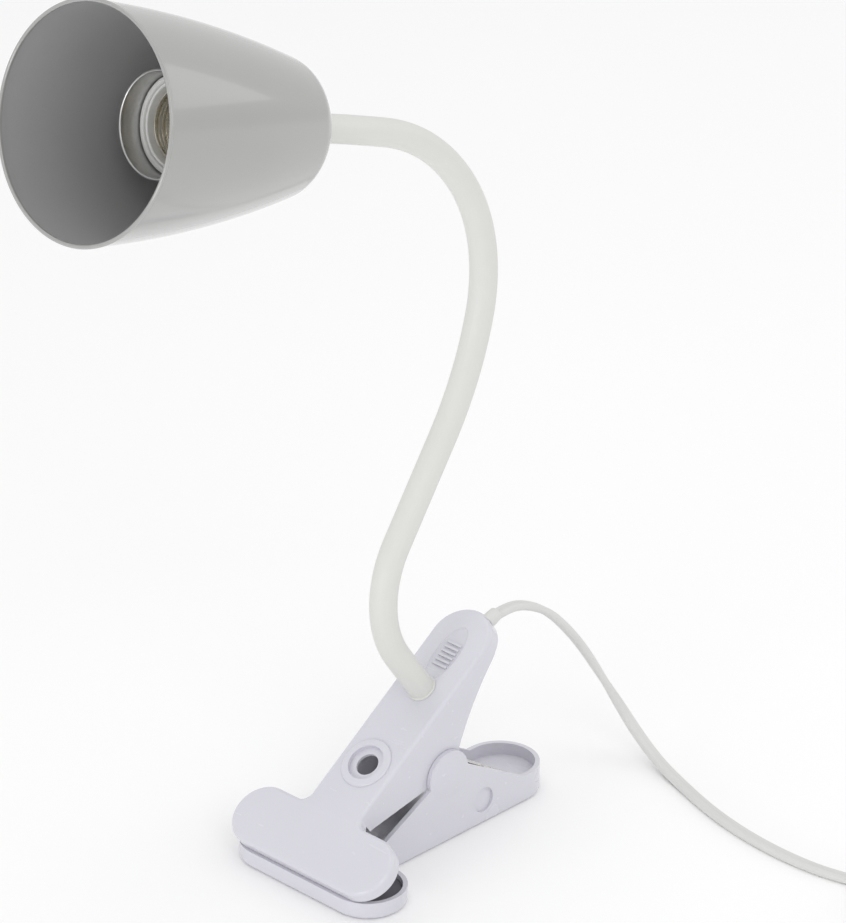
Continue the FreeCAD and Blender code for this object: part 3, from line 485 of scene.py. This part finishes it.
view = {"azimuth": -45.5, "elevation": 25.9, "distance": 2.0, "lens": 195.96, "across": -0.0023,
        "up": 0.1439, "shift": (0.0048, 0, 0)}
turnAngle, liftAngle = math.radians(view["azimuth"]), math.radians(view["elevation"])
back = Vector((math.sin(turnAngle) * math.cos(liftAngle), -math.cos(turnAngle) * math.cos(liftAngle),
               math.sin(liftAngle)))
across = Vector((math.cos(turnAngle), math.sin(turnAngle), 0))
camera = bpy.data.objects.new("camera", bpy.data.cameras.new("camera"))
camera.data.lens = view["lens"]
camera.data.clip_start, camera.data.clip_end = 0.1, 30
camera.rotation_euler = back.to_track_quat("Z", "Y").to_euler()
camera.location = (Vector(view["shift"]) + across * view["across"] + back.cross(across) * view["up"]
                   + back * view["distance"])
bpy.context.scene.collection.objects.link(camera)
bpy.context.scene.camera = camera
print("camera ready")


# places on the upper jaw

jaw = {"angle": 35.05, "pivotAlong": 0.0684, "pivotBelow": 0.0265, "length": 0.127}
slope = math.radians(jaw["angle"])
alongJaw = Vector((math.cos(slope), 0, math.sin(slope)))
outOfJaw = Vector((-math.sin(slope), 0, math.cos(slope)))
jawOrigin = pivot - alongJaw * jaw["pivotAlong"] + outOfJaw * jaw["pivotBelow"]
jawPlace = Matrix.Translation(jawOrigin) @ Matrix.Rotation(-slope, 4, "Y")


def onJaw(along, side, out):
    return jawOrigin + alongJaw * along + Vector((0, side, 0)) + outOfJaw * out


# cord

cord = {"width": 0.0052, "depth": 0.0032, "length": 1.5, "laid": 0.0016, "turns": 6.25,
        "pointsPerTurn": 16, "outerRadius": 0.0358, "inwardTurns": 3, "switch": 0.058, "coilAhead": 0.030,
        "start": 0.0011, "across": -0.0045, "below": -0.0040, "layerGap": 0.0002, "climbTurns": 0.35}
cordExit = onJaw(jaw["length"] + cord["start"], cord["across"], cord["below"])
cordRoute = [cordExit] + [Vector(spot) for spot in (
    (0.0455, -0.0045, 0.0839), (0.0565, -0.0046, 0.0804), (0.068, -0.0048, 0.0732), (0.0785, -0.0052, 0.062),
    (0.0878, -0.006, 0.0496), (0.0955, -0.008, 0.036), (0.1018, -0.0125, 0.022), (0.104, -0.022, 0.0096),
    (0.101, -0.037, 0.0030), (0.095, -0.056, 0.0016), (0.0886, -0.075, 0.0016), (0.0842, -0.095, 0.0016),
    (0.0822, -0.116, 0.0016), (0.083, -0.136, 0.0016), (0.087, -0.152, 0.0016), (0.0885, -0.166, 0.0030))]
heading = (cordRoute[-1] - cordRoute[-2]).to_2d().normalized().to_3d()
rightward = Vector((heading.y, -heading.x, 0))
switchStart = cordRoute[-1]
switchMiddle = switchStart + heading * cord["switch"] / 2
switchEnd = switchStart + heading * cord["switch"]
coilCentre = switchEnd + heading * cord["coilAhead"] + rightward * cord["outerRadius"]


def coilPoints():                                   # inwards on the floor, then outwards on top
    points = []
    total = int(cord["turns"] * cord["pointsPerTurn"])
    for step in range(1, total + 1):
        turns = step / cord["pointsPerTurn"]
        inwards = min(turns, cord["inwardTurns"]) - max(turns - cord["inwardTurns"], 0)
        radius = cord["outerRadius"] - inwards * cord["width"]
        climb = min(max((turns - cord["inwardTurns"]) / cord["climbTurns"] + 0.5, 0), 1)
        height = cord["laid"] + climb * (cord["depth"] + cord["layerGap"])
        angle = math.tau * turns
        spot = coilCentre - rightward * radius * math.cos(angle) + heading * radius * math.sin(angle)
        points.append(Vector((spot.x, spot.y, height)))
    return points


plug = {"reach": 0.036, "axis": 0.0068}                 # from the coil to the plug, and its height


def cordControls():
    wound = coilPoints()
    leave = wound[-1]
    face = leave + rightward * plug["reach"]
    face.z = plug["axis"]
    dip = [Vector((0, 0, height)) for height in (0.0012, 0.0014, 0.0004, 0.0002)]
    intoCoil = [switchEnd, switchEnd + heading * 0.011 - dip[0], switchEnd + heading * 0.021 - dip[1]]
    intoPlug = [leave + rightward * 0.011 - dip[2], leave + rightward * 0.024 + dip[3], face]
    return cordRoute + intoCoil + wound + intoPlug, face


def splineLine(controls, name):                     # the line that a smooth spline through the route follows
    curve = bpy.data.curves.new(name, "CURVE")
    curve.dimensions, curve.resolution_u = "3D", 6
    spline = curve.splines.new("NURBS")
    spline.points.add(len(controls) - 1)
    for point, control in zip(spline.points, controls):
        point.co = (*control, 1)
    spline.order_u = 3
    spline.use_endpoint_u = True
    holder = linked(name, curve)
    mesh = bpy.data.meshes.new_from_object(holder)
    line = [vertex.co.copy() for vertex in mesh.vertices]
    bpy.data.objects.remove(holder)
    return line


controls, plugFace = cordControls()
cordLine = splineLine(controls, "cordRoute")
lead = grown("lead", lineMesh("lead", cordLine), sweep, {
    "Half Width": cord["width"] / 2, "Half Depth": cord["depth"] / 2, "Groove": 0.2, "Flatness": 1.35,
    "Sides": 28, "Material": finishes["cord_grey"]}, outwards=True)
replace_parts(lead, "cord_run", "cord_link", "cord_coil", "cord_end")
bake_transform(lead)
print("lead: line of", len(cordLine), "points")

boot = {"inside": 0.0025, "reach": 0.0036, "root": 0.0030, "tip": 0.0027, "bore": 0.0014, "back": 0.0008}
bootAxis = (alongJaw + (cordRoute[1] - cordRoute[0]).normalized()).normalized()
bootTurn = bootAxis.to_track_quat("Z", "Y").to_matrix().to_4x4()
bootPlace = Matrix.Translation(cordRoute[0] - bootAxis * boot["back"]) @ bootTurn
cordBoot = turnedPiece("cord_boot", [
    (boot["bore"], -boot["inside"]), (boot["root"], -boot["inside"]), (boot["root"], 0.0004),
    (boot["tip"] + 0.0001, boot["reach"] - 0.0006), (boot["tip"] - 0.0003, boot["reach"]),
    (boot["bore"], boot["reach"])], bootPlace, "cord_grey", 49)
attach(cordBoot, "upper_jaw")

tie = {"halfWidth": 0.0021, "thick": 0.0005, "span": 2.05, "low": 0.0006, "high": 0.0072, "corner": 0.0012}
coilMiddle = cord["outerRadius"] - cord["width"] * 1.5


def tieLoop(angle):                                 # a soft strap round the coil's section
    outwards = Vector((math.cos(angle), math.sin(angle), 0))
    half, low, high, cut = cord["width"] * tie["span"], tie["low"], tie["high"], tie["corner"]
    corners = [(-half, low + cut), (-half + cut, low), (half - cut, low), (half, low + cut),
               (half, high - cut), (half - cut, high), (-half + cut, high), (-half, high - cut)]
    middle = coilCentre.to_2d().to_3d()
    ring = [middle + outwards * (coilMiddle + side) + Vector((0, 0, up)) for side, up in corners]
    return ring + ring[:2]


for count, angle in enumerate((0.6, 3.4)):
    loop = grown(f"coil_tie_{count}", lineMesh("tie", tieLoop(angle)), wireSweep, {
        "Half Width": tie["halfWidth"], "Half Depth": tie["thick"], "Flatness": 1.6, "Sides": 16,
        "Material": tieFinish}, outwards=True)
    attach(loop, "lower_jaw")


# neck

neck = {"radius": 0.0055, "first": 125.05, "blendReach": 0.017, "step": 0.0011, "near": 0.0001,
        "spans": [(0.023, 0), (0.052, -69), (0.045, 0), (0.050, 20), (0.058, 46), (0.055, 38), (0.046, 3)]}


def unit(angle):
    return Vector((math.cos(angle), 0, math.sin(angle)))


def advance(point, angle, length, turn):
    if abs(turn) < 1e-6:
        return point + unit(angle) * length, angle
    radius = length / turn
    centre = point + unit(angle + math.pi / 2) * radius
    return centre - unit(angle + turn + math.pi / 2) * radius, angle + turn


firstJoint = Vector(joints["neck_sway_1"]["pos_m"])
angle = math.radians(neck["first"])
point = firstJoint - unit(angle) * neck["spans"][0][0]
neckSpans = []
for length, turn in neck["spans"]:
    neckSpans.append((point, angle, length, math.radians(turn)))
    point, angle = advance(point, angle, length, math.radians(turn))
neckEnd, endAngle = point, angle


def stretch(span, begin, end):                      # points along part of a span
    start, facing, length, turn = span
    steps, near = max(2, math.ceil((end - begin) * length / neck["step"])), neck["near"] / length
    shares = [begin + (end - begin) * k / steps for k in range(steps + 1)]
    shares[1:1], shares[-1:-1] = [begin + near], [end - near]
    return [advance(start, facing, length * t, turn * t)[0] for t in shares]


neckBodies = ["upper_jaw", "neck_1", "neck_2", "neck_3", "neck_4", "neck_5", "head"]
sleeveStart = 0.0
for index in range(len(neckSpans) + 1):
    points = stretch(neckSpans[index - 1], 0.5, 1) if index else []
    if index < len(neckSpans):
        points = points[:-1] + stretch(neckSpans[index], 0, 0.5)
    sleeve = grown(f"sleeve_{index}", lineMesh("sleeve", points), sleeveSweep, {
        "Half Width": neck["radius"], "Half Depth": neck["radius"], "Before": sleeveStart, "Sides": 56,
        "Material": finishes["sleeve_rubber"]}, outwards=True)
    sleeveStart += sum((b - a).length for a, b in zip(points, points[1:]))
    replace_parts(sleeve, f"neck_sleeve_{index}")
    if 0 < index < len(neckSpans):
        spot, facing = neckSpans[index][:2]
        reach = unit(facing) * neck["blendReach"]
        spot - reach
        spot + reach
        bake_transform(sleeve)
    else:
        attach(sleeve, neckBodies[max(index - 1, 0)])
neckBase = Matrix.Translation(neckSpans[0][0]) @ Matrix.Rotation(math.pi / 2 - neckSpans[0][1], 4, "Y")
lip = {"inner": 0.0053, "outer": 0.0060, "low": 0.0001, "high": 0.0009, "round": 0.0005}
lipProfile = [(lip["inner"], lip["low"]), (lip["outer"], lip["low"])]
lipProfile += arc((lip["outer"] - lip["round"], lip["high"] - lip["round"]), lip["round"], 0, 90, 6)
lipProfile += [(lip["inner"], lip["high"])]
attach(turnedPiece("sleeve_lip", lipProfile, neckBase, "sleeve_rubber"), "upper_jaw")
print("neck: eight sleeve pieces")


# head

shade = {"mouth": 0.0432, "wall": 0.0009, "flankEnd": 0.095, "flankRadius": 0.0268, "flankCurve": 0.470,
         "shoulder": 0.012, "shoulderEnd": 0.1036, "shoulderRadius": 0.0193, "length": 0.1091,
         "bead": 0.0008, "bore": 0.0051, "liningFrom": 0.0012, "crownFrom": 0.05}
mouth = neckEnd + unit(endAngle) * shade["length"]
headPlace = Matrix.Translation(mouth) @ Matrix.Rotation(math.pi / 2 + math.pi - endAngle, 4, "Y")


def shadeProfile():
    wall, bead = shade["wall"], shade["bead"]
    shoulder = (shade["shoulderRadius"], shade["shoulderEnd"])
    flank = (shade["flankRadius"], shade["flankEnd"])
    outer = bow((shade["mouth"], 2 * bead), flank, shade["flankCurve"], 26)
    outer += bow(flank, shoulder, shade["shoulder"], 12)[1:]
    cone, taper = shade["length"] - shoulder[1], shoulder[0] - shade["bore"]
    outer += [(shoulder[0] - taper * t, shoulder[1] + cone * t) for t in (0.1, 0.5, 1)]
    innerShoulder = (shoulder[0] - 0.34 * wall, shoulder[1] - 0.94 * wall)
    innerFlank = (flank[0] - 0.97 * wall, flank[1] - 0.26 * wall)
    inner = [(shade["bore"], shade["length"] - wall)]
    inner += bow(innerShoulder, innerFlank, shade["shoulder"] - wall, 10, -1)
    inner += bow(innerFlank, (shade["mouth"] - wall, 2 * bead), shade["flankCurve"] - wall, 26, -1)[1:]
    rim = arc((shade["mouth"] - wall * 0.4, bead), bead, 210, 395, 12)
    return outer + inner + rim


shell = turnedPiece("shade_shell", shadeProfile(), headPlace, "shade_paint", 145)
shell.data.materials.append(lining)
axis = headPlace.to_3x3() @ Vector((0, 0, 1))
for face in shell.data.polygons:
    depth = (face.center - mouth).dot(axis)
    outward = face.center - mouth - axis * depth
    crown = face.normal.dot(axis) < -0.3 and depth > shade["crownFrom"]
    inside = outward.normalized().dot(face.normal) < -0.05 or crown
    face.material_index = 1 if inside and depth > shade["liningFrom"] else 0
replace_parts(shell, "lamp_shade")
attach(shell, "head")

cup = {"outer": 0.0198, "inner": 0.0188, "wall": 0.0010, "bore": 0.0051, "bead": 0.0006, "corner": 0.0012,
       "front": 0.0370, "skirt": 0.0384, "skirtEnd": 0.0935, "back": 0.0950}
cupFloor = cup["back"] - cup["wall"]
cupProfile = arc((cup["outer"] - cup["bead"], cup["front"]), cup["bead"], 180, 360, 8)
cupProfile += [(cup["outer"], cup["skirt"]), (cup["outer"], cup["skirtEnd"])]
cupProfile += arc((cup["outer"] - cup["corner"], cup["back"] - cup["corner"]), cup["corner"], 0, 90, 6)
cupProfile += [(cup["bore"], cup["back"]), (cup["bore"], cupFloor), (cup["inner"] - cup["corner"], cupFloor),
               (cup["inner"], cupFloor - cup["corner"]), (cup["inner"], cup["skirt"])]
cupShell = turnedPiece("cup_shell", cupProfile, headPlace, "cup_paint", 121)
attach(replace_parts(cupShell, "socket_cup"), "head")

collar = {"inner": 0.0165, "outer": 0.0186, "front": 0.0458, "back": 0.0548, "shelf": 0.0001, "step": 0.0010,
          "innerRound": 0.0006, "outerRound": 0.0007}
collarGroove = [(0.0186, 0.0498), (0.0182, 0.0501), (0.0182, 0.0508), (0.0186, 0.0511)]
innerRound, outerRound = collar["innerRound"], collar["outerRound"]
collarProfile = [(collar["inner"], collar["front"] + collar["step"])]
collarProfile += arc((collar["inner"] + collar["shelf"] + innerRound, collar["front"] + innerRound),
                     innerRound, 180, 270, 5)
collarProfile += arc((collar["outer"] - outerRound, collar["front"] + outerRound), outerRound, 270, 360, 5)
collarProfile += collarGroove + [(collar["outer"], collar["back"]), (collar["inner"], collar["back"])]
collarRing = turnedPiece("collar_ring", collarProfile, headPlace, "holder_white", 121)
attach(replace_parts(collarRing, "holder_collar"), "head")

holderLip = {"centre": (0.0158, 0.0470), "radius": 0.0006}
holderOutside = [(0.0164, 0.0795), (0.0158, 0.0805), (0.0118, 0.0855), (0.0110, 0.0860), (0.0051, 0.0860)]
holderInside = [(0.0051, 0.0848), (0.0106, 0.0848), (0.0152, 0.0790)]
holderProfile = arc(holderLip["centre"], holderLip["radius"], 180, 360, 6) + holderOutside + holderInside
body = turnedPiece("holder_shell", holderProfile, headPlace, "holder_white", 121)
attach(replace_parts(body, "holder_body"), "head")

thread = {"pitch": 0.0036, "depth": 0.00042, "radius": 0.01340, "start": 0.0480, "end": 0.0710,
          "over": 0.00022, "wall": 0.00045, "rows": 90}
rowHeight = (thread["end"] - thread["start"]) / thread["rows"]
outside = [(thread["radius"] + thread["over"], thread["start"] + rowHeight * row)
           for row in range(thread["rows"] + 1)]
inside = [(radius - thread["wall"], height) for radius, height in reversed(outside)]
screwShell = turnedPiece("thread_shell", outside + inside, headPlace, "shell_metal", 97, thread["pitch"],
                         thread["depth"])
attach(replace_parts(screwShell, "screw_shell"), "head")
print("head: shade, cup and lamp-holder")


# spring

spring = {"wire": 0.0009, "radius": 0.0066, "leg": 0.00915, "turns": 10, "lift": 0.001,
          "upperAlong": 0.093, "upperPlate": 0.0022, "lowerAlong": 0.0457, "lowerFloor": 0.0072}
upperFoot = onJaw(spring["upperAlong"], spring["leg"], -spring["upperPlate"] - spring["lift"])
lowerFoot = Vector((spring["lowerAlong"], -spring["leg"], spring["lowerFloor"] + spring["lift"]))


def springPoints():                                 # lower leg, close turns round the pin, upper leg
    ends = []
    for foot, side in ((lowerFoot, -1), (upperFoot, 1)):
        away = Vector((foot.x, foot.z - pivot.z))
        lean = -side * math.acos(spring["radius"] / away.length)
        ends.append(math.atan2(away.y, away.x) + lean)
    first, last = ends
    sweepAngle = math.tau * spring["turns"] + ((last - first) % math.tau)
    steps = 24 * spring["turns"]
    turns = []
    for step in range(steps + 1):
        t = step / steps
        turn = first + sweepAngle * t
        turns.append(Vector((spring["radius"] * math.cos(turn), spring["leg"] * (2 * t - 1),
                             pivot.z + spring["radius"] * math.sin(turn))))
    return [lowerFoot, lowerFoot.lerp(turns[0], 0.5)] + turns + [upperFoot.lerp(turns[-1], 0.5), upperFoot]


coil = grown("spring_wire", lineMesh("spring", springPoints()), wireSweep, {
    "Half Width": spring["wire"], "Half Depth": spring["wire"], "Sides": 14,
    "Material": finishes["spring_steel"]}, outwards=True)
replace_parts(coil, "torsion_spring")
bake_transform(coil)
print("spring wound")


# clip and small moulded pieces

edgeRounds = {"upper_jaw": 0.0004, "lower_jaw": 0.0004, "handle_cover": 0.0003, "switch_base": 0.0005,
              "switch_top": 0.0004, "switch_rocker": 0.0003, "plug_body": 0.0005}
for node, width in edgeRounds.items():
    piece = softened(node, width)
    print(node, "softened:", len(piece.data.polygons), "faces")


# floor and light

floorSize = 6.0
floorMesh = bpy.data.meshes.new("floor")
floorMesh.from_pydata([(-floorSize, -floorSize, 0), (floorSize, -floorSize, 0), (floorSize, floorSize, 0),
                       (-floorSize, floorSize, 0)], [], [(0, 1, 2, 3)])
floor = linked("floor", floorMesh)
floor.data.materials.append(material("floorPaper", lambda graph, place: principled(graph, {
    "Base Color": graph.blend(graph.noise(place, 3, 2), (0.95, 0.95, 0.95, 1), (0.965, 0.965, 0.965, 1)),
    "Roughness": 0.9})))

lights = {"key": ((-0.9, -1.5, 1.5), 1.2, 6.8), "fill": ((1.5, -0.9, 1.1), 1.4, 4.5),
          "top": ((0.1, 0.5, 2.2), 1.8, 6.5), "low": ((-1.5, -0.25, 0.05), 0.6, 6.5)}
lightAim = Vector((-0.03, 0, 0.18))
for name, (place, width, power) in lights.items():
    lamp = bpy.data.lights.new(name, "AREA")
    lamp.size, lamp.energy = width, power
    holder = linked(name, lamp)
    holder.location = place
    holder.rotation_euler = (Vector(place) - lightAim).to_track_quat("Z", "Y").to_euler()
world = bpy.data.worlds.new("studio")
world.use_nodes = True
bpy.context.scene.world = world
sky = Graph(world.node_tree)
sky.node("ShaderNodeOutputWorld", {}, {"Surface": sky.node("ShaderNodeBackground", {}, {
    "Color": (1, 1, 1, 1), "Strength": 0.80})})
bpy.context.scene.view_settings.view_transform = "Standard"
